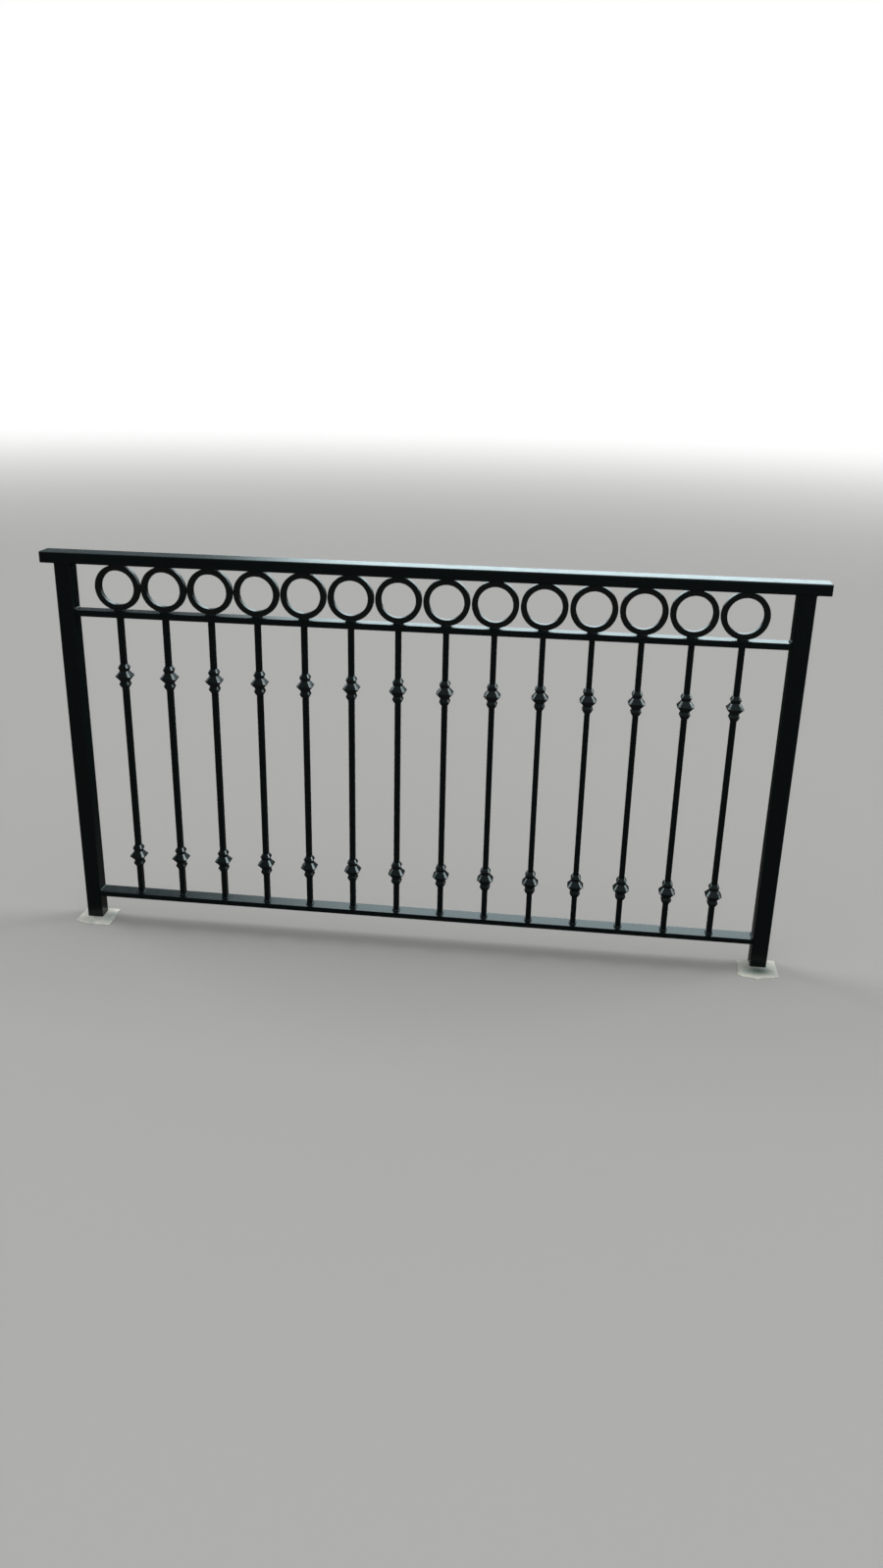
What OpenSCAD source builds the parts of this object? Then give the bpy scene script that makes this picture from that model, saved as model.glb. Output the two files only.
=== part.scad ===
// Iron guard railing between two square posts: a flat cap rail, a row of cast rings under it,
// and square balusters that each carry two cast knuckle collars.
// X runs along the railing, Y is the depth with the front at -Y, and Z is up.
// The origin is the middle of the left post's foot, on the paving.

/* [Railing] */
// Height from the paving to the top of the cap rail
rail_height = 914.4; // [850:0.1:1100]
// Number of balusters, with one ring above each
baluster_count = 14; // [4:1:20]
// Distance from one baluster's centre to the next
baluster_pitch = 107.1; // [90:0.1:130]
// Distance from a post's centre to the nearest baluster's centre
end_pitch = 120.2; // [90:0.1:160]
// Height of the ring rail's upper face above the paving
ring_rail_top = 783.2; // [700:0.1:800]
// Height of the bottom rail's upper face above the paving
bottom_rail_top = 74; // [50:1:120]

/* [Posts] */
// Side of the square tube
post_width = 38.1; // [34:0.1:50]
// Thickness of the post's wall
post_wall = 3; // [2:0.5:5]
// Outer corner radius of the posts and the cap rail
tube_corner = 3.5; // [2:0.5:4]

/* [Cap rail] */
// Depth of the cap rail, front to back
cap_depth = 50.8; // [38:0.1:60]
// Height of the cap rail
cap_height = 25.4; // [20:0.1:35]
// Thickness of the cap rail's wall and of its end plates
cap_wall = 2.5; // [2:0.5:4]
// How far the cap rail runs past the outer face of each post
cap_overhang = 28.6; // [10:1:60]

/* [Channel rails] */
// Depth of the ring rail, front to back
ring_rail_depth = 31.8; // [25:0.1:50]
// Height of the ring rail
ring_rail_height = 14.3; // [10:0.1:20]
// Depth of the bottom rail, front to back
bottom_rail_depth = 38.1; // [25:0.1:50]
// Height of the bottom rail
bottom_rail_height = 12.7; // [10:0.1:20]
// Thickness of the channel's web and flanges
channel_wall = 3.2; // [2:0.1:5]

/* [Balusters] */
// Side of the solid square bar
bar_width = 12.7; // [10:0.1:16]

/* [Rings] */
// Clear gap between one ring and the next
ring_gap = 3.7; // [2:0.1:10]
// Width of the ring's band, seen from the front
ring_band = 12.7; // [8:0.1:16]
// Depth of the ring, front to back
ring_depth = 12.7; // [8:0.1:20]

/* [Knuckle collars] */
// Height of the upper collars' middle ridge above the paving
upper_collar_height = 630; // [500:1:700]
// Height of the lower collars' middle ridge above the paving
lower_collar_height = 174; // [150:1:300]
// Width across the middle tier's ridge
ridge_width = 38.1; // [28:0.1:44]
// Width across the ridge of the two rims
rim_width = 24.4; // [20:0.1:32]
// Width across the two waists between the tiers
waist_width = 18.6; // [15:0.1:20]
// Width across the collar's two ends
end_width = 16; // [14:0.1:20]
// Height from the middle ridge to each rim's ridge
rim_offset = 20; // [16:0.1:24]
// Height from the middle ridge to each waist
waist_offset = 12.4; // [7:0.1:14]
// Height from the middle ridge to each end of the collar
collar_half_height = 28; // [24:0.1:34]
// Part of the half width that is cut off each upright corner of the collar
corner_cut = 0.3; // [0.1:0.05:0.5]

/* [Welds and mortar] */
// Leg of the weld beads
weld_leg = 4; // [2:0.5:6]
// Thickness of the mortar patch round each post's foot
mortar_thickness = 3; // [2:0.5:10]

/* [Hidden] */
eps = 0.01;
ring_sides = 240;
post_span = (baluster_count - 1) * baluster_pitch + 2 * end_pitch;
cap_bottom = rail_height - cap_height;
ring_od = baluster_pitch - ring_gap;
ring_centre = (cap_bottom + ring_rail_top) / 2;
ring_lift = (cap_bottom - ring_rail_top - ring_od) / 2;
bar_foot = bottom_rail_top - channel_wall;
bar_head = ring_rail_top - channel_wall;
rail_length = post_span - post_width;
cap_length = post_span + post_width + 2 * cap_overhang;
corner_spread = (2 - corner_cut) / sqrt(2);
iron = [0.05, 0.06, 0.06];
mortar = [0.72, 0.71, 0.67];
// Corners of each mortar patch about its post, from the front left, anticlockwise
left_patch = [[-40, -46], [0, -57], [52, -56], [52, -22], [47, -10], [47, 31], [-39, 24]];
right_patch = [[-54, -58], [-41, -69], [-9, -76], [2, -70], [43, -60], [44, 20], [-46, 9]];

function baluster_x(i) = end_pitch + (i - 1) * baluster_pitch;
function numbered(name, i) = str(name, i < 10 ? "_0" : "_", i);

// Square or oblong outline with round corners, centred on the origin.
module rounded_outline(width, depth, corner) {
    square([width - 2 * corner, depth], center = true);
    square([width, depth - 2 * corner], center = true);
    for (x = [-1, 1], y = [-1, 1])
        translate([x * (width / 2 - corner), y * (depth / 2 - corner)])
            circle(r = corner, $fn = 32);
}

// The wall of a tube with round outer corners and sharp inner ones.
module tube_outline(width, depth, wall, corner) {
    difference() {
        rounded_outline(width, depth, corner);
        square([width - 2 * wall, depth - 2 * wall], center = true);
    }
}

// Square tube, open at both ends: the cap rail covers its head.
module post(x) {
    color(iron)
        translate([x, 0, 0])
            linear_extrude(cap_bottom)
                tube_outline(post_width, post_width, post_wall, tube_corner);
}

// Turns an outline drawn in depth and height into a length of rail that starts at x.
module rail_along_x(x, length) {
    translate([x, 0, 0])
        rotate([90, 0, 90])
            linear_extrude(length)
                children();
}

// Oblong tube that lies on both posts and runs past them.
module cap_rail() {
    color(iron)
        translate([0, 0, cap_bottom + cap_height / 2])
            rail_along_x(cap_wall - post_width / 2 - cap_overhang, cap_length - 2 * cap_wall)
                tube_outline(cap_depth, cap_height, cap_wall, tube_corner);
}

// The plates that close the cap rail's two ends.
module cap_rail_end_plates() {
    left_end = -post_width / 2 - cap_overhang;
    color(iron)
        for (x = [left_end, left_end + cap_length - cap_wall])
            translate([0, 0, cap_bottom + cap_height / 2])
                rail_along_x(x, cap_wall)
                    rounded_outline(cap_depth, cap_height, tube_corner);
}

// Channel between the posts, with its flanges turned down.
module channel(top, depth, height) {
    translate([0, 0, top])
        rail_along_x(post_width / 2, rail_length)
            difference() {
                translate([-depth / 2, -height])
                    square([depth, height]);
                translate([channel_wall - depth / 2, -height - eps])
                    square([depth - 2 * channel_wall, height - channel_wall + eps]);
            }
}

// The rail that the rings stand on. The balusters' heads butt against its web from below.
module ring_rail() {
    color(iron)
        channel(ring_rail_top, ring_rail_depth, ring_rail_height);
}

// The bottom rail, punched with a square hole for each baluster.
module bottom_rail() {
    color(iron)
        difference() {
            channel(bottom_rail_top, bottom_rail_depth, bottom_rail_height);
            for (i = [1 : baluster_count])
                translate([baluster_x(i), 0, bottom_rail_top - channel_wall / 2])
                    cube([bar_width, bar_width, 2 * channel_wall], center = true);
        }
}

// Upright of solid square bar, from the bottom rail's web to the ring rail's web.
module baluster(i) {
    color(iron)
        translate([baluster_x(i) - bar_width / 2, -bar_width / 2, bar_foot])
            cube([bar_width, bar_width, bar_head - bar_foot]);
}

// Cast ring between the cap rail and the ring rail, a weld's thickness clear of both.
module ring(i) {
    color(iron)
        translate([baluster_x(i), 0, ring_centre])
            rotate([90, 0, 0])
                difference() {
                    cylinder(h = ring_depth, d = ring_od, center = true, $fn = ring_sides);
                    cylinder(h = 2 * ring_depth, d = ring_od - 2 * ring_band, center = true, $fn = ring_sides);
                }
}

// One side of the collar's outline, from its foot to its head: half width, then height.
function collar_edge() = [
    [end_width / 2, -collar_half_height],
    [rim_width / 2, -rim_offset],
    [waist_width / 2, -waist_offset],
    [ridge_width / 2, 0],
    [waist_width / 2, waist_offset],
    [rim_width / 2, rim_offset],
    [end_width / 2, collar_half_height]
];

// The collar's whole outline with its widths times spread, extruded front to back.
module collar_slab(spread) {
    edge = collar_edge();
    last = len(edge) - 1;
    near_edge = [for (j = [0 : last]) [edge[j][0] * spread, edge[j][1]]];
    far_edge = [for (j = [0 : last]) [-edge[last - j][0] * spread, edge[last - j][1]]];
    rotate([90, 0, 0])
        linear_extrude(2 * ridge_width, center = true)
            polygon(concat(near_edge, far_edge));
}

// Cast knuckle of three tiers, each one bevelled to a sharp ridge at half its height.
// Two crossed slabs leave a square section at every height, and two set diagonally cut its corners.
module collar() {
    difference() {
        intersection() {
            collar_slab(1);
            rotate([0, 0, 90])
                collar_slab(1);
            rotate([0, 0, 45])
                collar_slab(corner_spread);
            rotate([0, 0, 135])
                collar_slab(corner_spread);
        }
        cube([bar_width, bar_width, 4 * collar_half_height], center = true);
    }
}

// One collar threaded on each baluster, all at the same height.
module collar_row(height) {
    color(iron)
        for (i = [1 : baluster_count])
            translate([baluster_x(i), 0, height])
                collar();
}

// Bevelled block, wide at the bottom and narrow at the top by one weld leg on each side.
module bead_block(length, depth, height) {
    intersection() {
        rotate([90, 0, 0])
            linear_extrude(2 * depth, center = true)
                polygon([[-length / 2, 0], [length / 2, 0], [length / 2 - height, height], [height - length / 2, height]]);
        rotate([90, 0, 90])
            linear_extrude(2 * length, center = true)
                polygon([[-depth / 2, 0], [depth / 2, 0], [depth / 2 - height, height], [height - depth / 2, height]]);
    }
}

// Saddle of weld that fills the gap between a ring and the rail, and climbs the ring on both sides.
module ring_weld() {
    difference() {
        bead_block(ring_band + 2 * weld_leg, ring_depth + 2 * weld_leg, weld_leg);
        translate([0, 0, ring_lift + ring_od / 2])
            rotate([90, 0, 0])
                cylinder(h = ring_depth, d = ring_od, center = true, $fn = ring_sides);
    }
}

// Welds at the foot and the head of every ring.
module ring_welds() {
    color(iron)
        for (i = [1 : baluster_count]) {
            translate([baluster_x(i), 0, ring_rail_top])
                ring_weld();
            translate([baluster_x(i), 0, cap_bottom])
                mirror([0, 0, 1])
                    ring_weld();
        }
}

// Skirt of weld round each baluster where it comes out of the bottom rail.
module baluster_foot_welds() {
    color(iron)
        for (i = [1 : baluster_count])
            translate([baluster_x(i), 0, bottom_rail_top])
                difference() {
                    bead_block(bar_width + 2 * weld_leg, bar_width + 2 * weld_leg, weld_leg);
                    cube([bar_width, bar_width, 3 * weld_leg], center = true);
                }
}

// Bead across a rail's upper face, in the corner against a post.
module rail_end_weld(length) {
    rotate([90, 0, 0])
        linear_extrude(length, center = true)
            polygon([[0, 0], [weld_leg, 0], [0, weld_leg]]);
}

// Welds at both ends of the two lower rails.
module rail_end_welds() {
    color(iron)
        for (rail = [[bottom_rail_top, bottom_rail_depth], [ring_rail_top, ring_rail_depth]]) {
            translate([post_width / 2, 0, rail[0]])
                rail_end_weld(rail[1] - weld_leg);
            translate([post_span - post_width / 2, 0, rail[0]])
                mirror([1, 0, 0])
                    rail_end_weld(rail[1] - weld_leg);
        }
}

// Bead under the cap rail, against a post's outer face.
module post_head_weld() {
    rotate([90, 0, 0])
        linear_extrude(post_width - 2 * tube_corner, center = true)
            polygon([[0, 0], [-weld_leg, 0], [0, -weld_leg]]);
}

// Welds at the heads of both posts, on their outer and inner faces.
module post_head_welds() {
    color(iron)
        for (x = [0, post_span], side = [0, 1])
            translate([x, 0, cap_bottom])
                mirror([side, 0, 0])
                    translate([-post_width / 2, 0, 0])
                        post_head_weld();
}

// Roughly square patch of mortar that was laid by hand round a post's foot.
module mortar_patch(x, corners) {
    color(mortar)
        translate([x, 0, 0])
            linear_extrude(mortar_thickness)
                difference() {
                    polygon(corners);
                    rounded_outline(post_width, post_width, tube_corner);
                }
}

post(0);  // left_post
post(post_span);  // right_post
cap_rail();
cap_rail_end_plates();
ring_rail();
bottom_rail();
for (i = [1 : baluster_count]) {
    ring(i);
    baluster(i);
}
collar_row(upper_collar_height);  // upper_collars
collar_row(lower_collar_height);  // lower_collars
ring_welds();
baluster_foot_welds();
rail_end_welds();
post_head_welds();
mortar_patch(0, left_patch);  // left_mortar_patch
mortar_patch(post_span, right_patch);  // right_mortar_patch
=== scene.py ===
import bpy
import numpy as np
from mathutils import Matrix, Vector


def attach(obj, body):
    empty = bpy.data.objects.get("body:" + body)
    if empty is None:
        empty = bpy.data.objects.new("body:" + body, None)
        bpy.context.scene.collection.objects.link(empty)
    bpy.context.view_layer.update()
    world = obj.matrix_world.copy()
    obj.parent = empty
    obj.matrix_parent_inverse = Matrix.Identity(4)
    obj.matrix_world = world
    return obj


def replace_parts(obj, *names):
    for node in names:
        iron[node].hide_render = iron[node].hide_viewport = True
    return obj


# Iron guard railing panel, painted semi-gloss black: two square posts set in mortar, a flat cap rail,
# a row of cast rings, and square balusters with two knuckle collars each. Lengths are in metres.
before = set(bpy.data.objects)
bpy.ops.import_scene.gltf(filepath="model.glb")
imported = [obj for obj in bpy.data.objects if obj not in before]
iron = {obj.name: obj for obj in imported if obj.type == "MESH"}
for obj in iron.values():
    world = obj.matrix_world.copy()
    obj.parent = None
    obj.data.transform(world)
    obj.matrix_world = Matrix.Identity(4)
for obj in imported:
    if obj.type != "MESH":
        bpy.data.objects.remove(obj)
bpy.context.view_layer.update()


# Viewpoint: in front of the railing, a little above it and looking down at it.
# Fitted to the posts, the rails and the collars. Blender measures an upright picture's film by its height.
photo_height = 1599
focal_pixels = 1159.96
film_height = 36
eye = (1.14256, -2.46219, 1.34724)
turn, dip, tilt = np.radians((-6.3865, 20.7398, 1.2807))
ahead = np.array((np.sin(turn) * np.cos(dip), np.cos(turn) * np.cos(dip), -np.sin(dip)))
level_right = np.array((np.cos(turn), -np.sin(turn), 0))
level_up = np.cross(level_right, ahead)
right = level_right * np.cos(tilt) + level_up * np.sin(tilt)
up = level_up * np.cos(tilt) - level_right * np.sin(tilt)
lens = bpy.data.cameras.new("front_view")
lens.lens = focal_pixels * film_height / photo_height
lens.sensor_width = film_height
viewpoint = bpy.data.objects.new("front_view", lens)
bpy.context.scene.collection.objects.link(viewpoint)
viewpoint.matrix_world = Matrix.Translation(eye) @ Matrix(np.column_stack((right, up, -ahead))).to_4x4()
bpy.context.scene.camera = viewpoint
bpy.context.scene.view_settings.view_transform = "Standard"


# Surroundings: a wide pale floor that whitens into the distance, under an even white world.
# In reflections the floor is dark and the sky is slightly blue-green. That sky dims in front, low down
# and towards the left, and behind the railing it is bright only between two upright edges.
def place(tree, kind, sockets=None, **settings):
    """Adds one shader node. Each socket takes a plain value or another node's output."""
    node = tree.nodes.new(kind)
    for name, value in settings.items():
        setattr(node, name, value)
    for name, value in (sockets or {}).items():
        if isinstance(value, bpy.types.NodeSocket):
            tree.links.new(value, node.inputs[name])
        else:
            node.inputs[name].default_value = value
    return node


def ramp(tree, value, start, end, low=0.0, high=1.0, step="LINEAR"):
    """Carries a value from start and end to low and high, and holds it beyond them. The step is a straight
    line, or SMOOTHSTEP, which is 3t^2 - 2t^3 of the way t."""
    sockets = {"Value": value, "From Min": start, "From Max": end, "To Min": low, "To Max": high}
    return place(tree, "ShaderNodeMapRange", sockets, interpolation_type=step).outputs[0]


def arithmetic(tree, operation, *terms, clamp=False):
    """The operation on its terms. MULTIPLY_ADD is the first times the second, plus the third."""
    sockets = dict(enumerate(terms))
    return place(tree, "ShaderNodeMath", sockets, operation=operation, use_clamp=clamp).outputs[0]


def blend(tree, share, first, second):
    """The first colour where the share is 0, the second where it is 1, and a straight mix between."""
    return place(tree, "ShaderNodeMix", {"Factor": share, 6: first, 7: second}, data_type="RGBA").outputs[2]


soft_strength = 0.58
full_white = (1.0, 1.0, 1.0, 1)
sky_tint = (0.80, 0.99, 1.04, 1)
world = bpy.data.worlds.new("white_surround")
bpy.context.scene.world = world
world.use_nodes = True
tree = world.node_tree
tree.nodes.clear()
path = place(tree, "ShaderNodeLightPath").outputs
mirrored = arithmetic(tree, "MAXIMUM", path["Is Glossy Ray"], path["Is Transmission Ray"])
seen = arithmetic(tree, "MAXIMUM", path["Is Camera Ray"], mirrored)
heading = place(tree, "ShaderNodeTexCoord").outputs["Generated"]
sky = place(tree, "ShaderNodeSeparateXYZ", {0: heading}).outputs
in_front = ramp(tree, sky["Y"], start=-0.02, end=-0.35)
to_the_left = ramp(tree, sky["X"], start=-0.40, end=0.15, low=-0.85, high=0.0)
dimmed = arithmetic(tree, "MULTIPLY_ADD", in_front, to_the_left, 1.0)
low_in_front = ramp(tree, sky["Y"], start=-0.52, end=-0.64, low=1.0, high=0.4, step="SMOOTHSTEP")
shaded = arithmetic(tree, "MULTIPLY", dimmed, low_in_front)
behind = ramp(tree, sky["Y"], start=0.50, end=0.75)
left_edge = ramp(tree, sky["X"], start=-0.31, end=-0.17, low=-0.80, high=2.0, step="SMOOTHSTEP")
right_edge = ramp(tree, sky["X"], start=0.22, end=0.30, low=0.0, high=-2.6, step="SMOOTHSTEP")
between_edges = arithmetic(tree, "ADD", left_edge, right_edge)
patterned = arithmetic(tree, "MULTIPLY_ADD", behind, between_edges, shaded)
evened = place(tree, "ShaderNodeMix", {"Factor": path["Is Camera Ray"], "A": patterned, "B": 1.0},
               data_type="FLOAT").outputs[0]
tint = blend(tree, path["Is Camera Ray"], sky_tint, full_white)
soft_light = place(tree, "ShaderNodeBackground",
                   {"Color": full_white, "Strength": soft_strength}).outputs[0]
backdrop = place(tree, "ShaderNodeBackground", {"Color": tint, "Strength": evened}).outputs[0]
mixed = place(tree, "ShaderNodeMixShader", {0: seen, 1: soft_light, 2: backdrop}).outputs[0]
place(tree, "ShaderNodeOutputWorld", {"Surface": mixed})

floor_reach = 60
floor_roughness = 0.9
near_floor = (0.47, 0.47, 0.46, 1)
far_floor = (0.97, 0.97, 0.965, 1)
mirrored_front = (0.13, 0.12, 0.11, 1)
mirrored_back = (0.020, 0.024, 0.020, 1)
no_glow = (0, 0, 0, 1)
horizon_glow = (0.16, 0.16, 0.16, 1)
corners = np.array(((-1, -1, 0), (1, -1, 0), (1, 1, 0), (-1, 1, 0))) * floor_reach
floor_mesh = bpy.data.meshes.new("floor")
floor_mesh.from_pydata(corners.tolist(), [], [(0, 1, 2, 3)])
floor = bpy.data.objects.new("floor", floor_mesh)
bpy.context.scene.collection.objects.link(floor)
floor_finish = bpy.data.materials.new("pale_floor")
floor_finish.use_nodes = True
tree = floor_finish.node_tree
shader = tree.nodes["Principled BSDF"].inputs
shader["Roughness"].default_value = floor_roughness
shader["Specular IOR Level"].default_value = 0.0
shader["Emission Strength"].default_value = 1.0
spot = place(tree, "ShaderNodeTexCoord").outputs["Object"]
distance = place(tree, "ShaderNodeVectorMath", {0: spot}, operation="LENGTH").outputs["Value"]
whitening = ramp(tree, distance, start=5.0, end=19.0, step="SMOOTHSTEP")
shade = blend(tree, whitening, near_floor, far_floor)
depth = place(tree, "ShaderNodeSeparateXYZ", {0: spot}).outputs["Y"]
past_railing = ramp(tree, depth, start=0.0, end=0.8)
reflected = blend(tree, past_railing, mirrored_front, mirrored_back)
path = place(tree, "ShaderNodeLightPath").outputs
floor_tone = blend(tree, path["Is Glossy Ray"], shade, reflected)
tree.links.new(floor_tone, shader["Base Color"])
farther = ramp(tree, distance, start=7.0, end=24.0, step="SMOOTHSTEP")
glow_share = arithmetic(tree, "MULTIPLY", farther, path["Is Camera Ray"])
glow = blend(tree, glow_share, no_glow, horizon_glow)
tree.links.new(glow, shader["Emission Color"])
floor_mesh.materials.append(floor_finish)


# Lamps: two broad soft lights, high on the left and on the right, light everything.
# The others are seen only in shiny paint, as an open sky would be: at both sides and overhead.
shine_colour = (0.84, 1.0, 1.02)


def soft_lamp(name, towards, radiance, width, only_shine=False):
    """A distant round light of the given angular width and radiance, in the direction towards, seen from
    the railing. Its strength is radiance times pi times sin(half the width) squared."""
    light = bpy.data.lights.new(name, "SUN")
    light.angle = np.radians(width)
    light.energy = radiance * np.pi * np.sin(np.radians(width / 2)) ** 2
    lamp = bpy.data.objects.new(name, light)
    bpy.context.scene.collection.objects.link(lamp)
    lamp.rotation_euler = Vector(towards).to_track_quat("Z", "Y").to_euler()
    if only_shine:
        light.color = shine_colour
        lamp.visible_diffuse = False


soft_lamp("right_soft_lamp", towards=(0.63, 0.20, 0.75), radiance=5.0, width=26)
soft_lamp("left_soft_lamp", towards=(-0.68, 0.25, 0.69), radiance=4.0, width=26)
soft_lamp("right_sky_shine", towards=(0.80, 0.05, 0.58), radiance=12.0, width=52, only_shine=True)
soft_lamp("left_sky_shine", towards=(-0.80, 0.06, 0.60), radiance=13.0, width=28, only_shine=True)
soft_lamp("overhead_sky_shine", towards=(0.10, 0.55, 0.83), radiance=4.0, width=40, only_shine=True)


# Black paint: two coats of semi-gloss enamel, brushed and rolled over steel, castings and welds alike.
# It has a faint orange peel, a little dust on faces that look up, and thinner, rubbed paint on its edges.
def new_group(name, inputs, outputs):
    """An empty shader node group, with the sockets of its two ends. Inputs are name and default value
    pairs, outputs are names."""
    group = bpy.data.node_groups.new(name, "ShaderNodeTree")
    for label, value in inputs:
        socket = group.interface.new_socket(label, in_out="INPUT", socket_type="NodeSocketFloat")
        socket.default_value = value
    for label in outputs:
        group.interface.new_socket(label, in_out="OUTPUT", socket_type="NodeSocketFloat")
    return group, group.nodes.new("NodeGroupInput").outputs, group.nodes.new("NodeGroupOutput").inputs


def noise(tree, spot, scale, detail, roughness):
    """Cloudy noise with scale waves a metre and, for each step of detail, waves half as long. Each step is
    roughness times as strong as the one before."""
    sockets = {"Vector": spot, "Scale": scale, "Detail": detail, "Roughness": roughness}
    return place(tree, "ShaderNodeTexNoise", sockets).outputs["Fac"]


def scatter(tree, spot, scale):
    """The distance to the nearest of scattered dots, scale of them along a metre."""
    sockets = {"Vector": spot, "Scale": scale, "Randomness": 1.0}
    return place(tree, "ShaderNodeTexVoronoi", sockets).outputs["Distance"]


orange_peel, given, result = new_group(
    "orange_peel", [("Peel Scale", 700.0), ("Wave Scale", 55.0), ("Nibs", 0.3)], ["Height", "Sheen"])
wave_weight = 1.6
spot = place(orange_peel, "ShaderNodeTexCoord").outputs["Object"]
peel = noise(orange_peel, spot, given["Peel Scale"], detail=2.0, roughness=0.5)
wave = noise(orange_peel, spot, given["Wave Scale"], detail=3.0, roughness=0.55)
nib = ramp(orange_peel, scatter(orange_peel, spot, scale=260.0), start=0.05, end=0.16, low=1.0, high=0.0)
nib_height = arithmetic(orange_peel, "MULTIPLY", nib, given["Nibs"])
waved = arithmetic(orange_peel, "MULTIPLY_ADD", wave, wave_weight, peel)
height = arithmetic(orange_peel, "ADD", waved, nib_height)
orange_peel.links.new(height, result["Height"])
orange_peel.links.new(wave, result["Sheen"])

settled_dust, given, result = new_group("settled_dust", [("Amount", 0.3), ("Scale", 30.0)], ["Mask"])
facing = place(settled_dust, "ShaderNodeNewGeometry").outputs["Normal"]
upward = place(settled_dust, "ShaderNodeSeparateXYZ", {0: facing}).outputs["Z"]
level = ramp(settled_dust, upward, start=0.45, end=1.0)
spot = place(settled_dust, "ShaderNodeTexCoord").outputs["Object"]
drift = noise(settled_dust, spot, given["Scale"], detail=6.0, roughness=0.65)
patchy = ramp(settled_dust, drift, start=0.38, end=0.72)
lying = arithmetic(settled_dust, "MULTIPLY", level, patchy)
settled_dust.links.new(arithmetic(settled_dust, "MULTIPLY", lying, given["Amount"]), result["Mask"])

rubbed_edge, given, result = new_group("rubbed_edge", [("Reach", 0.0015), ("Amount", 0.5)], ["Mask"])
rounded = place(rubbed_edge, "ShaderNodeBevel", {"Radius": given["Reach"]}, samples=6).outputs["Normal"]
true_face = place(rubbed_edge, "ShaderNodeNewGeometry").outputs["True Normal"]
agreement = place(rubbed_edge, "ShaderNodeVectorMath", {0: rounded, 1: true_face},
                  operation="DOT_PRODUCT").outputs["Value"]
bent = ramp(rubbed_edge, agreement, start=0.995, end=0.86)
spot = place(rubbed_edge, "ShaderNodeTexCoord").outputs["Object"]
patches = noise(rubbed_edge, spot, scale=90.0, detail=4.0, roughness=0.6)
worn = ramp(rubbed_edge, patches, start=0.45, end=0.7)
rub = arithmetic(rubbed_edge, "MULTIPLY", bent, worn)
rubbed_edge.links.new(arithmetic(rubbed_edge, "MULTIPLY", rub, given["Amount"]), result["Mask"])


def use_group(tree, group, **values):
    """Places a node group in a material, with its inputs set by name, and gives its outputs."""
    node = place(tree, "ShaderNodeGroup", node_tree=group)
    for label, value in values.items():
        node.inputs[label.replace("_", " ")].default_value = value
    return node.outputs


fresh_paint = (0.0010, 0.0040, 0.0045, 1)
rubbed_paint = (0.016, 0.020, 0.021, 1)
dust_colour = (0.14, 0.14, 0.13, 1)
dust_scale = 34.0
dust_dulling = 0.5
rub_reach = 0.0012
edge_radius = 0.0007
smoother, rougher = 0.02, 0.03


def black_paint(name, gloss, bend, peel_scale, wave_scale, nibs, relief, dust, edge):
    """Semi-gloss black enamel. Its height is peel plus slow waves plus nibs, relief metres high in all,
    its roughness swings with the waves, dust and rubbed edges lighten and dull it, and bend is its IOR."""
    finish = bpy.data.materials.new(name)
    finish.use_nodes = True
    tree = finish.node_tree
    shader = tree.nodes["Principled BSDF"].inputs
    shader["IOR"].default_value = bend
    skin = use_group(tree, orange_peel, Peel_Scale=peel_scale, Wave_Scale=wave_scale, Nibs=nibs)
    dusty = use_group(tree, settled_dust, Amount=dust, Scale=dust_scale)["Mask"]
    rubbed = use_group(tree, rubbed_edge, Reach=rub_reach, Amount=edge)["Mask"]
    body = blend(tree, rubbed, fresh_paint, rubbed_paint)
    tree.links.new(blend(tree, dusty, body, dust_colour), shader["Base Color"])
    swing = ramp(tree, skin["Sheen"], start=0.3, end=0.7, low=gloss - smoother, high=gloss + rougher)
    rough = arithmetic(tree, "MULTIPLY_ADD", dusty, dust_dulling, swing, clamp=True)
    tree.links.new(rough, shader["Roughness"])
    soft_edge = place(tree, "ShaderNodeBevel", {"Radius": edge_radius}, samples=6).outputs["Normal"]
    bump = place(tree, "ShaderNodeBump",
                 {"Height": skin["Height"], "Normal": soft_edge, "Strength": 1.0, "Distance": relief})
    tree.links.new(bump.outputs["Normal"], shader["Normal"])
    return finish


def dress(finish, *names):
    """Gives the named solids this finish."""
    for name in names:
        for material_slot in iron[name].material_slots:
            material_slot.material = finish


# Posts: square steel tube, set in mortar at the foot and covered by the cap rail at the head.
# The paint is rolled on, smooth, and gathers a little dust only on what looks up.
rolled_paint = black_paint("rolled_black_paint", gloss=0.25, bend=1.34, peel_scale=620.0, wave_scale=38.0,
                           nibs=0.25, relief=0.000012, dust=0.05, edge=0.3)
dress(rolled_paint, "left_post", "right_post")


# Cap rail: oblong steel tube laid flat on both posts and closed with a plate at each end.
# Its broad top shines, because it is seen at a low angle.
dress(rolled_paint, "cap_rail", "cap_rail_end_plates")


# Ring rail and bottom rail: steel channel with its flanges down, between the posts.
# Both are cut to length and welded to the posts' inner faces.
dress(rolled_paint, "ring_rail", "bottom_rail")


# Balusters: solid square bar, butted to the ring rail and let through the bottom rail's web.
# The mill's scale leaves the bar a little less even than the tube.
baluster_count = 14
bar_paint = black_paint("bar_black_paint", gloss=0.27, bend=1.34, peel_scale=520.0, wave_scale=70.0,
                        nibs=0.3, relief=0.00002, dust=0.10, edge=0.3)
dress(bar_paint, *["baluster_%02d" % (i + 1) for i in range(baluster_count)])


# Rings: iron rings in a row between the cap rail and the ring rail, one over each baluster.
# They are castings with slightly grainy faces, held by a weld at the head and one at the foot.
cast_paint = black_paint("cast_black_paint", gloss=0.27, bend=1.45, peel_scale=430.0, wave_scale=110.0,
                         nibs=0.55, relief=0.00003, dust=0.08, edge=0.35)
dress(cast_paint, *["ring_%02d" % (i + 1) for i in range(baluster_count)])


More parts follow.
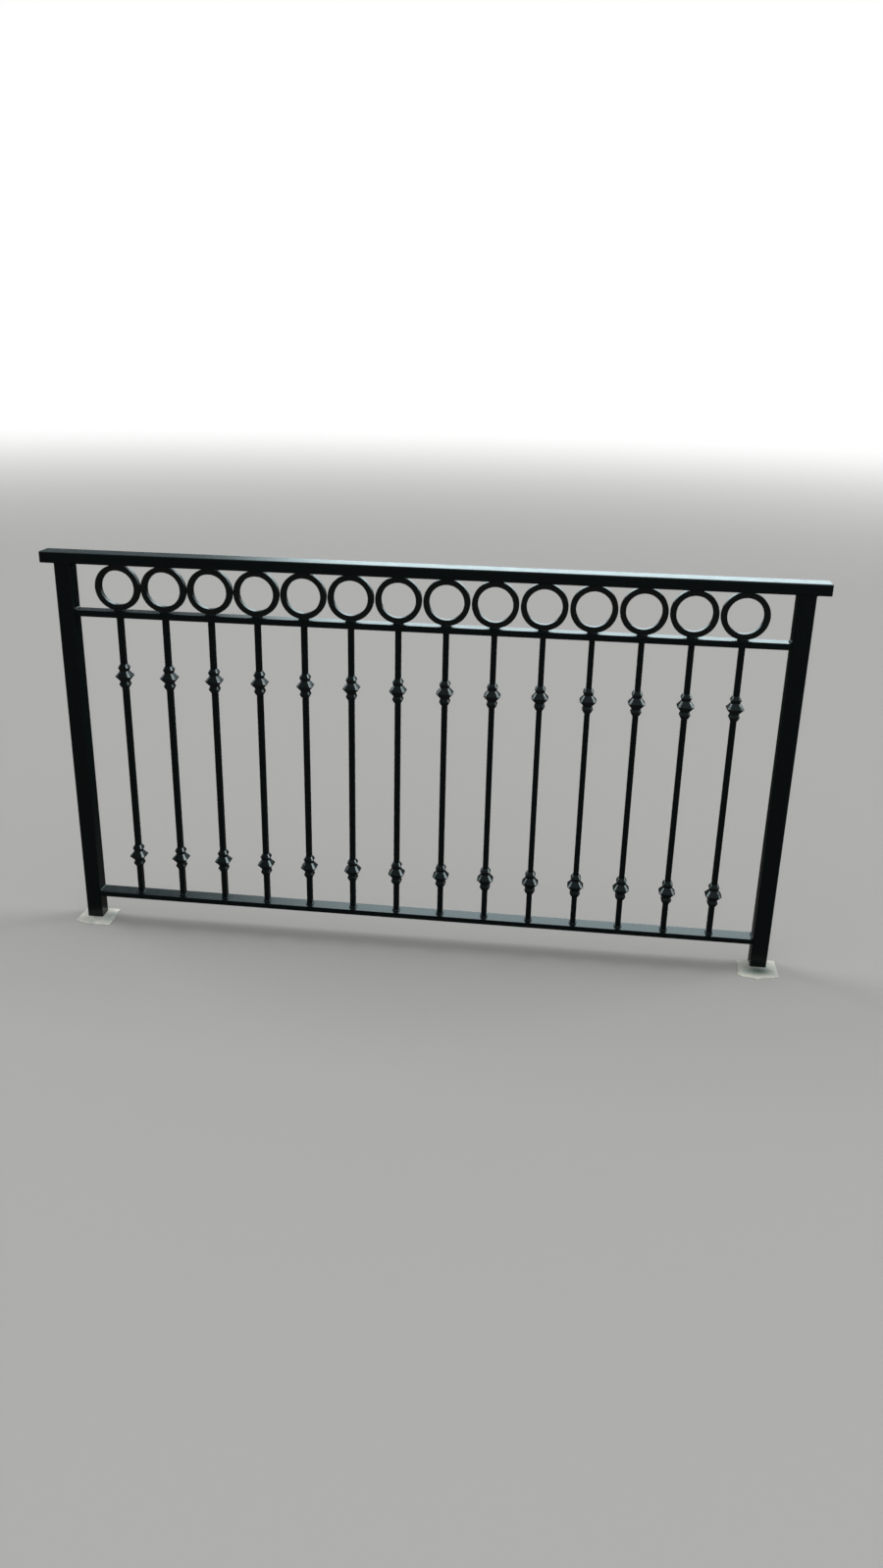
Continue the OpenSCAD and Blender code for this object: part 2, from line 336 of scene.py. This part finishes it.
# Knuckle collars: small iron castings slid over each baluster, one near its head and one near its foot.
# Three tiers, each bevelled to a ridge, with the upright corners cut and every edge rounded by the mould.
def rounded_corners(points, cut, steps=3):
    """Closed path through points with each corner replaced by a curve that starts cut before it and ends
    cut after it. The curve is the quadratic (1-t)^2 A + 2t(1-t) P + t^2 B for t from 0 to 1."""
    points = np.asarray(points, float)
    cut = np.broadcast_to(np.asarray(cut, float), len(points))[:, None]
    before = np.roll(points, 1, axis=0) - points
    after = np.roll(points, -1, axis=0) - points
    start = points + before / np.linalg.norm(before, axis=1, keepdims=True) * cut
    finish = points + after / np.linalg.norm(after, axis=1, keepdims=True) * cut
    t = np.linspace(0, 1, steps)[None, :, None]
    curve = (1 - t) ** 2 * start[:, None] + 2 * t * (1 - t) * points[:, None] + t ** 2 * finish[:, None]
    return curve.reshape(-1, points.shape[1])


def grid_piece(name, grids, finish, tips=None):
    """One object from an array of grids, shaped pieces, rows, columns, 3. The columns close on themselves.
    The rows do too, unless tips gives two points a piece, which then cap the first row and the last."""
    pieces, rows, columns = grids.shape[:3]
    index = np.arange(pieces * rows * columns).reshape(pieces, rows, columns)
    beside = np.roll(index, -1, axis=2)
    points = grids.reshape(-1, 3)
    if tips is None:
        quads = np.stack((index, np.roll(index, -1, axis=1), np.roll(beside, -1, axis=1), beside), axis=-1)
        caps = []
    else:
        quads = np.stack((index[:, :-1], index[:, 1:], beside[:, 1:], beside[:, :-1]), axis=-1)
        tip = len(points) + np.arange(pieces * 2).reshape(pieces, 2, 1)
        tip = np.broadcast_to(tip, (pieces, 2, columns))
        first = np.stack((tip[:, 0], index[:, 0], beside[:, 0]), axis=-1)
        last = np.stack((tip[:, 1], beside[:, -1], index[:, -1]), axis=-1)
        caps = np.concatenate((first, last)).reshape(-1, 3).tolist()
        points = np.concatenate((points, tips.reshape(-1, 3)))
    mesh = bpy.data.meshes.new(name)
    mesh.from_pydata(points.tolist(), [], quads.reshape(-1, 4).tolist() + caps)
    mesh.shade_smooth()
    mesh.materials.append(finish)
    piece = bpy.data.objects.new(name, mesh)
    bpy.context.scene.collection.objects.link(piece)
    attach(piece, "root")
    return piece


chance = np.random.default_rng(7)
first_baluster, baluster_pitch = 0.1202, 0.1071
baluster_x = first_baluster + np.arange(baluster_count) * baluster_pitch
bar_half = 0.00635
bore_half = bar_half - 0.0002
ridge_half, rim_half, waist_half, end_half = 0.01905, 0.0122, 0.0093, 0.0080
rim_height, waist_height, collar_half = 0.0200, 0.0124, 0.0280
corner_spread = 1.7 / np.sqrt(2)
uncut_spread = 1.6
# Half width, height above the collar's middle, and how many times as far out as the flat faces the
# faces that cut the upright corners stand. Then how far from each point its rounding starts.
collar_outline = [
    (end_half, -collar_half, corner_spread), (rim_half, -rim_height, corner_spread),
    (waist_half, -waist_height, corner_spread), (ridge_half, 0, corner_spread),
    (waist_half, waist_height, corner_spread), (rim_half, rim_height, corner_spread),
    (end_half, collar_half, corner_spread), (bore_half, collar_half, uncut_spread),
    (bore_half, -collar_half, uncut_spread)]
collar_cuts = (0.0005, 0.0006, 0.0011, 0.0008, 0.0011, 0.0006, 0.0005, 0.0001, 0.0001)
collar_sharpness = 70
size_scatter, height_scatter = 0.006, 0.0004
upper_collar_height, lower_collar_height = 0.630, 0.174


def collar_row(name, height):
    """One collar on each baluster. At angle a and outline half width w the surface lies at the radius
    w / (sum of |cos(a - k 45)/spread_k|^p)^(1/p), the rounded meeting of eight upright faces."""
    outline = rounded_corners(collar_outline, collar_cuts)
    quarter = np.radians((0, 13, 25, 31, 33.6, 35, 36.4, 40, 45, 50, 53.6, 55, 56.4, 59, 65, 77))
    around = np.concatenate([quarter + k * np.pi / 2 for k in range(4)])[:, None]
    width, level, spread = outline.T[:, None, :]
    faces = [np.abs(np.cos(around)) + 0 * width, np.abs(np.sin(around)) + 0 * width,
             np.abs(np.cos(around - np.pi / 4)) / spread, np.abs(np.sin(around - np.pi / 4)) / spread]
    radius = width / np.sum(np.power(faces, collar_sharpness), axis=0) ** (1 / collar_sharpness)
    one = np.stack((radius * np.cos(around), radius * np.sin(around), level + 0 * radius), axis=-1)
    row = np.repeat(one[None], baluster_count, axis=0)
    row = row * (1 + chance.normal(0, size_scatter, (baluster_count, 1, 1, 1)))
    row[..., 0] += baluster_x[:, None, None]
    row[..., 2] += height + chance.normal(0, height_scatter, (baluster_count, 1, 1))
    return grid_piece(name, row, cast_paint)


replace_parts(collar_row("upper_knuckle_collars", upper_collar_height), "upper_collars")
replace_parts(collar_row("lower_knuckle_collars", lower_collar_height), "lower_collars")


# Welds: short beads of steel, laid by hand, that hold the whole panel together, painted with the rest.
# Each is a lumpy, rippled tube half sunk in the pieces that it joins.
weld_paint = black_paint("weld_black_paint", gloss=0.34, bend=1.33, peel_scale=500.0, wave_scale=160.0,
                         nibs=0.5, relief=0.00003, dust=0.12, edge=0.2)
bead_sides = 10
core_share, crest_share, lump_share = 0.93, 0.10, 0.11
crest_bow = 0.5


def bead_tubes(paths, outward, thickness, ripple, taper=None):
    """Rippled tubes along paths, shaped pieces, steps, 3. The radius at length s is thickness times taper
    times the sum of a core, a crest share of |cos(pi s / ripple)| bowed along the tube, and a lump share
    of three slow sines. The thickness is one number, or one for each step."""
    strides = np.linalg.norm(np.diff(paths, axis=1, prepend=paths[:, -1:]), axis=2)[..., None]
    travelled = np.cumsum(strides, axis=1)
    whole = travelled[:, -1:]
    slant = np.linspace(0, 2 * np.pi, bead_sides, endpoint=False)[None, None, :]
    crest = np.abs(np.cos(np.pi * np.round(whole / ripple) * travelled / whole + crest_bow * np.cos(slant)))
    phases = chance.uniform(0, 2 * np.pi, (3, len(paths), 1, 1))
    lumps = sum(np.sin(2 * np.pi * (k + 1) * travelled / whole + phases[k]) / (k + 1.5) for k in range(3))
    radius = thickness * (core_share + crest_share * crest + lump_share * lumps)
    along = np.roll(paths, -1, axis=1) - np.roll(paths, 1, axis=1)
    if taper is not None:
        radius = radius * taper
        along = np.gradient(paths, axis=1)
    along /= np.linalg.norm(along, axis=2, keepdims=True)
    side = outward - np.sum(outward * along, axis=2, keepdims=True) * along
    side /= np.linalg.norm(side, axis=2, keepdims=True)
    over = np.cross(side, along)
    return (paths[:, :, None] + side[:, :, None] * (radius * np.cos(slant))[..., None]
            + over[:, :, None] * (radius * np.sin(slant))[..., None])


bend_steps = 7
path_stride = 0.0005


def frame_paths(half_x, half_y, corner, places, height):
    """The same closed rectangular path with round corners round each place along the rail, walked in even
    strides, and the outward direction at each of its points."""
    turns = [(half_x, -half_y), (half_x, half_y), (-half_x, half_y), (-half_x, -half_y)]
    bends = rounded_corners(turns, corner, bend_steps)
    ring = np.vstack((bends, bends[:1]))
    reached = np.concatenate(([0], np.cumsum(np.linalg.norm(np.diff(ring, axis=0), axis=1))))
    even = np.linspace(0, reached[-1], int(reached[-1] / path_stride), endpoint=False)
    flat = np.stack([np.interp(even, reached, ring[:, axis]) for axis in (0, 1)], axis=1)
    paths = np.zeros((len(places), len(flat), 3))
    outward = np.zeros_like(paths)
    paths[..., :2] = outward[..., :2] = flat
    paths[..., 0] += places[:, None]
    paths[..., 2] = height
    return paths, outward


ring_foot, ring_head = 0.7832, 0.8890
ring_bead_reach, ring_bead_depth, ring_bead_corner = 0.0105, 0.0061, 0.0030
ring_bead_ripple = 0.0021
end_thickness, added_thickness = 0.0013, 0.0013
seat = 0.0006
# Each of these beads is thickest at the middle of its ring, and thins out to both sides as 1 - x^2.
feet = frame_paths(ring_bead_reach, ring_bead_depth, ring_bead_corner, baluster_x, ring_foot + seat)
heads = frame_paths(ring_bead_reach, ring_bead_depth, ring_bead_corner, baluster_x, ring_head - seat)
wedge = end_thickness + added_thickness * (1 - (feet[1][:1, :, :1] / ring_bead_reach) ** 2)
ring_paths = np.concatenate((feet[0], heads[0]))
ring_outward = np.concatenate((feet[1], heads[1]))
ring_tubes = bead_tubes(ring_paths, ring_outward, wedge, ring_bead_ripple)
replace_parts(grid_piece("ring_weld_beads", ring_tubes, weld_paint), "ring_welds")

bottom_face = 0.0740
foot_bead_reach, foot_bead_corner = 0.0068, 0.0016
foot_bead_thickness, foot_bead_ripple = 0.0024, 0.0020
foot_seat = 0.0004
foot_paths, foot_outward = frame_paths(foot_bead_reach, foot_bead_reach, foot_bead_corner, baluster_x,
                                       bottom_face + foot_seat)
foot_tubes = bead_tubes(foot_paths, foot_outward, foot_bead_thickness, foot_bead_ripple)
foot_beads = grid_piece("baluster_foot_beads", foot_tubes, weld_paint)
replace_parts(foot_beads, "baluster_foot_welds")

cross_bead_steps = 90
cross_bead_thickness, cross_bead_ripple = 0.0031, 0.0023
end_reach = 0.995
sway, sway_bend = 0.0003, 7
taper_power = 8


def cross_beads(name, corners):
    """Short beads from front to back, swaying as one sine. Each corner gives x, z, half length, and the
    signs of the open quarter that the bead fills. The ends taper off as the square root of 1 - u^8."""
    x, z, half, side_x, side_z = np.asarray(corners, float).T[:, :, None]
    u = np.linspace(-end_reach, end_reach, cross_bead_steps)[None, :]
    wander = sway * np.sin(u * sway_bend + chance.uniform(0, 6, (len(corners), 1)))
    paths = np.stack((x + side_x * (seat + wander), half * u, z + side_z * (seat + wander)), axis=-1)
    outward = np.stack((side_x + 0 * u, 0 * x * u, side_z + 0 * u), axis=-1)
    taper = np.sqrt(1 - u ** taper_power)[..., None] + 0 * x[..., None]
    tubes = bead_tubes(paths, outward, cross_bead_thickness, cross_bead_ripple, taper)
    tips = paths[:, (0, -1)].copy()
    tips[:, :, 1] *= 1 / end_reach
    return grid_piece(name, tubes, weld_paint, tips)


span = 1.6327
post_half, tube_corner = 0.01905, 0.0035
left_face, right_face = post_half, span - post_half
bottom_rail_weld, ring_rail_weld = 0.0172, 0.0140
rail_ends = [(left_face, bottom_face, bottom_rail_weld, 1, 1),
             (right_face, bottom_face, bottom_rail_weld, -1, 1),
             (left_face, ring_foot, ring_rail_weld, 1, 1), (right_face, ring_foot, ring_rail_weld, -1, 1)]
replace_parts(cross_beads("rail_end_beads", rail_ends), "rail_end_welds")
post_heads = [(x + side * post_half, ring_head, post_half - tube_corner, side, -1)
              for x in (0, span) for side in (-1, 1)]
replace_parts(cross_beads("post_head_beads", post_heads), "post_head_welds")


# Mortar patches: a thin bed of pale, sandy mortar, laid round each post's foot to hold it.
# Trowelled flat, a little ragged at the edge, creamy, and greyer and greener where it stays damp.
# In front of each post lies a dark green patch: the post's shadow painted in, on mortar kept damp there.
dry_mortar = (0.82, 0.80, 0.72, 1)
damp_mortar = (0.54, 0.61, 0.56, 1)
dark_sand = (0.36, 0.33, 0.28, 1)
# Dark green of the patch in front of each post: painted shade from the post, over a damp stain.
stain_shadow_green = (0.030, 0.058, 0.042, 1)
mortar_relief = 0.0006
cloud_weight = 1.5
mortar_finish = bpy.data.materials.new("pale_mortar")
mortar_finish.use_nodes = True
tree = mortar_finish.node_tree
shader = tree.nodes["Principled BSDF"].inputs
shader["Specular IOR Level"].default_value = 0.25
spot = place(tree, "ShaderNodeTexCoord").outputs["Object"]
cloud = noise(tree, spot, scale=38.0, detail=6.0, roughness=0.62)
sand = noise(tree, spot, scale=900.0, detail=3.0, roughness=0.6)
damp = ramp(tree, cloud, start=0.40, end=0.66)
bed = blend(tree, damp, dry_mortar, damp_mortar)
speck = ramp(tree, scatter(tree, spot, scale=420.0), start=0.10, end=0.24, low=0.55, high=0.0)
sanded = blend(tree, speck, bed, dark_sand)
# Painted shade: the post's shadow in front of its foot, laid in as a dark green stain on damp mortar.
stain_shadow = place(tree, "ShaderNodeAttribute", attribute_name="stain_shadow").outputs["Fac"]
tree.links.new(blend(tree, stain_shadow, sanded, stain_shadow_green), shader["Base Color"])
dull = ramp(tree, cloud, start=0.35, end=0.65, low=0.95, high=0.78)
tree.links.new(dull, shader["Roughness"])
grain = arithmetic(tree, "MULTIPLY_ADD", cloud, cloud_weight, sand)
bump = place(tree, "ShaderNodeBump", {"Height": grain, "Strength": 1.0, "Distance": mortar_relief})
tree.links.new(bump.outputs["Normal"], shader["Normal"])
bed_thickness = 0.003
bed_columns = 360
edge_waves = np.arange(9, 70, 4)[:, None]
edge_setback, raggedness = 0.0007, 0.0006
hole_half = post_half - 0.0003
hole_corner_cut = 0.0014
slow_wave_share = 0.05
stain_shadow_flattening = 1.6
# From the post, under the bed to its edge, up the edge and back over the top: the share of the way from
# the edge to the post, and the share of the thickness.
bed_share = np.array((1, 0, 0, 0.012, 0.035, 0.09, 0.2, 0.35, 0.5, 0.65, 0.8, 0.92, 0.97, 1))[None, :]
bed_rise = np.array((0, 0, 0.45, 0.68, 0.78, 0.82, 0.84, 0.84, 0.84, 0.84, 0.85, 0.88, 0.94, 1))[None, :]


def mortar_bed(name, post_x, corners, stain_shadow_at, stain_shadow_depth, stain_shadow_reach):
    """Flat bed between the post's square outline and a ragged one. At angle a the outer edge lies where the
    ray meets the straight line between two corners, roughened by sines, each divided by the root of its
    number of waves. The profile is a steep side, a top with slow waves, the product of two sines plus a
    third, and a small upstand at the post. The painted shadow of the post, a dark green stain, falls off
    as exp(-(distance / reach)^2)."""
    corners = np.asarray(corners)
    bearing = np.arctan2(corners[:, 1], corners[:, 0])
    order = np.argsort(bearing)
    start, bearing = corners[order], bearing[order]
    edge = np.roll(start, -1, axis=0) - start
    a = np.linspace(-np.pi, np.pi, bed_columns, endpoint=False)
    k = np.searchsorted(bearing, a) - 1
    outer = ((start[k, 0] * edge[k, 1] - start[k, 1] * edge[k, 0])
             / (np.cos(a) * edge[k, 1] - np.sin(a) * edge[k, 0]))
    phases = chance.uniform(0, 6.3, edge_waves.shape)
    ragged = np.sum(np.sin(edge_waves * a + phases) / np.sqrt(edge_waves), axis=0)
    outer = outer - edge_setback + raggedness * ragged
    inner = hole_half / np.maximum(np.abs(np.cos(a)), np.abs(np.sin(a)))
    inner = np.minimum(inner, hole_half * np.sqrt(2) - hole_corner_cut)
    reach = outer[:, None] + (inner - outer)[:, None] * bed_share
    x, y = reach * np.cos(a)[:, None], reach * np.sin(a)[:, None]
    slow = np.sin(x * 130 + 1.7) * np.sin(y * 110 + 0.6) + 0.5 * np.sin(x * 290 + y * 210)
    on_top = (bed_rise > 0.5) * (bed_rise < 0.93)
    z = bed_thickness * np.clip(bed_rise + slow_wave_share * slow * on_top, 0, 1)
    bed_grid = np.stack((x + post_x, y, z), axis=-1)[None]
    piece = grid_piece(name, bed_grid, mortar_finish)
    away = np.hypot(x - stain_shadow_at[0], (y - stain_shadow_at[1]) * stain_shadow_flattening)
    mark = piece.data.attributes.new("stain_shadow", "FLOAT", "POINT")
    strength = stain_shadow_depth * np.exp(-(away / stain_shadow_reach) ** 2)
    mark.data.foreach_set("value", strength.astype(np.float32).ravel())
    return piece


left_corners = [(-0.039, 0.024), (-0.040, -0.046), (-0.022, -0.052), (0.000, -0.057), (0.030, -0.057),
                (0.052, -0.055), (0.050, -0.027), (0.052, -0.021), (0.047, -0.010), (0.047, 0.031),
                (0.015, 0.030)]
right_corners = [(-0.046, 0.009), (-0.049, -0.043), (-0.054, -0.058), (-0.041, -0.069), (-0.019, -0.071),
                 (-0.009, -0.076), (0.001, -0.070), (0.023, -0.065), (0.043, -0.060), (0.044, 0.020)]
# Each bed gets the post's shadow painted in front of the post, as a dark green stain.
left_bed = mortar_bed("left_mortar_bed", 0.0, left_corners,
                      stain_shadow_at=(-0.014, -0.038), stain_shadow_depth=0.34, stain_shadow_reach=0.030)
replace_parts(left_bed, "left_mortar_patch")
right_bed = mortar_bed("right_mortar_bed", span, right_corners,
                       stain_shadow_at=(-0.002, -0.036), stain_shadow_depth=0.98, stain_shadow_reach=0.038)
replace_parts(right_bed, "right_mortar_patch")
